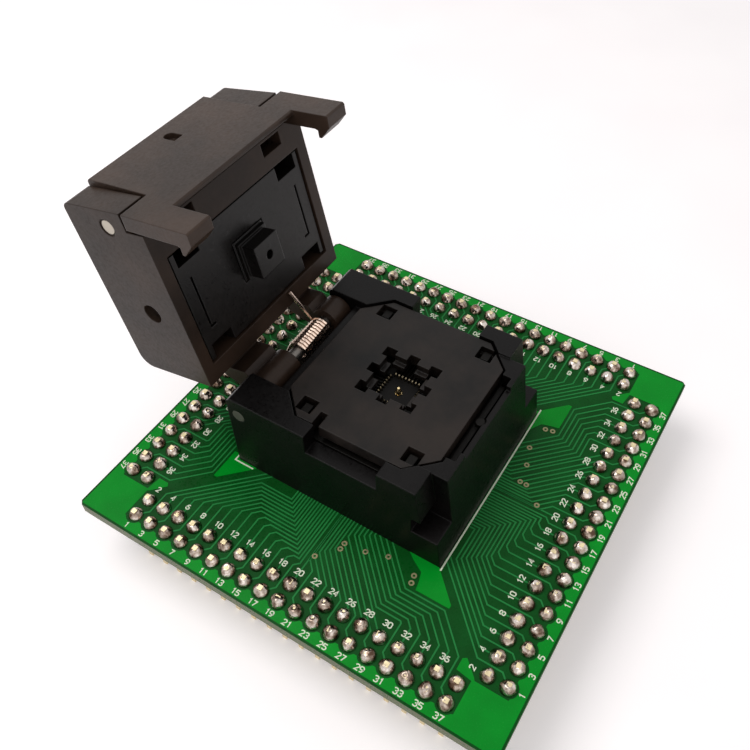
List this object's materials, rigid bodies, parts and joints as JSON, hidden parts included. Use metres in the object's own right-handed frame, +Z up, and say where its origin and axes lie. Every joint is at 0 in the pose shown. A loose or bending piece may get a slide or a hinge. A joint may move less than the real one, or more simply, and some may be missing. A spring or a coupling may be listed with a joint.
{
  "type": "zif test socket",
  "caption": "Clamshell zero-insertion-force test socket with sprung lid and latch, soldered to a square green adapter board with pin headers along its four sides.",
  "frame": {"origin": "centre of the pin field, on the plane where the pin headers seat (the bottom faces of the header bodies)", "axes": "+Z up out of the board's component side, +Y towards the lid's hinge, the latch closes at -Y, +X to the right seen from the latch side"},
  "size_m": [0.061, 0.0659, 0.0495],
  "materials": {
    "solder_mask": "glossy green solder mask over copper",
    "header_plastic": "moulded black",
    "pin_metal": "plated brass",
    "solder": "bright tin solder",
    "gold_plating": "gold plated",
    "base_plastic": "moulded, satin",
    "nest_plastic": "moulded, satin",
    "lid_plastic": "moulded, satin",
    "press_plastic": "moulded, satin",
    "pin_steel": "ground steel",
    "spring_steel": "drawn spring wire"
  },
  "bodies": {
    "base": {"circuit_board": "solder_mask", "header_front": "header_plastic", "header_back": "header_plastic", "header_left": "header_plastic", "header_right": "header_plastic", "pins_front": "pin_metal", "pins_back": "pin_metal", "pins_left": "pin_metal", "pins_right": "pin_metal", "solder_front": "solder", "solder_back": "solder", "solder_left": "solder", "solder_right": "solder", "base_housing": "base_plastic", "contact_carrier": "nest_plastic", "contacts_front": "gold_plating", "contacts_back": "gold_plating", "contacts_left": "gold_plating", "contacts_right": "gold_plating", "probe_barrel": "gold_plating", "probe_spring": "spring_steel", "nest_springs": "spring_steel", "hinge_pin": "pin_steel", "torsion_spring": "spring_steel"},
    "lid": {"lid_frame": "lid_plastic", "pressure_pin": "pin_steel", "pressure_springs": "spring_steel", "latch_pin": "pin_steel", "latch_springs": "spring_steel"},
    "press": {"pressure_plate": "press_plastic"},
    "press_pad": {"pusher": "press_plastic"},
    "catch": {"latch": "lid_plastic"},
    "nest": {"nest_plate": "nest_plastic"},
    "probe": {"probe_plunger": "gold_plating"}
  },
  "joints": [
    {"name": "lid_hinge", "type": "hinge", "parent": "base", "child": "lid", "pos_m": [0, 0.0151, 0.01474], "axis": [1, 0, 0], "range_deg": [0, 102], "stiffness_Nm_per_rad": 0.006, "springref_deg": -57.3, "deforming": ["torsion_spring"]},
    {"name": "latch_pivot", "type": "hinge", "parent": "lid", "child": "catch", "pos_m": [0, 0.02888, 0.03906], "axis": [-1, 0, 0], "range_deg": [0, 14], "stiffness_Nm_per_rad": 0.001, "springref_deg": -20.05, "deforming": ["latch_springs"]},
    {"name": "pressure_slide", "type": "slide", "parent": "lid", "child": "press", "axis": [0, 0.9781, -0.2079], "range_m": [0, 0.0008], "stiffness_N_per_m": 40, "springref_m": -0.004, "deforming": ["pressure_springs"]},
    {"name": "pusher_float", "type": "slide", "parent": "press", "child": "press_pad", "axis": [0, 0.9781, -0.2079], "range_m": [0, 0.0003]},
    {"name": "nest_slide", "type": "slide", "parent": "base", "child": "nest", "axis": [0, 0, -1], "range_m": [0, 0.0006], "stiffness_N_per_m": 40, "springref_m": -0.003, "deforming": ["nest_springs"]},
    {"name": "probe_slide", "type": "slide", "parent": "base", "child": "probe", "axis": [0, 0, -1], "range_m": [0, 0.0004], "stiffness_N_per_m": 1, "springref_m": -0.002, "deforming": ["probe_spring"]}
  ]
}
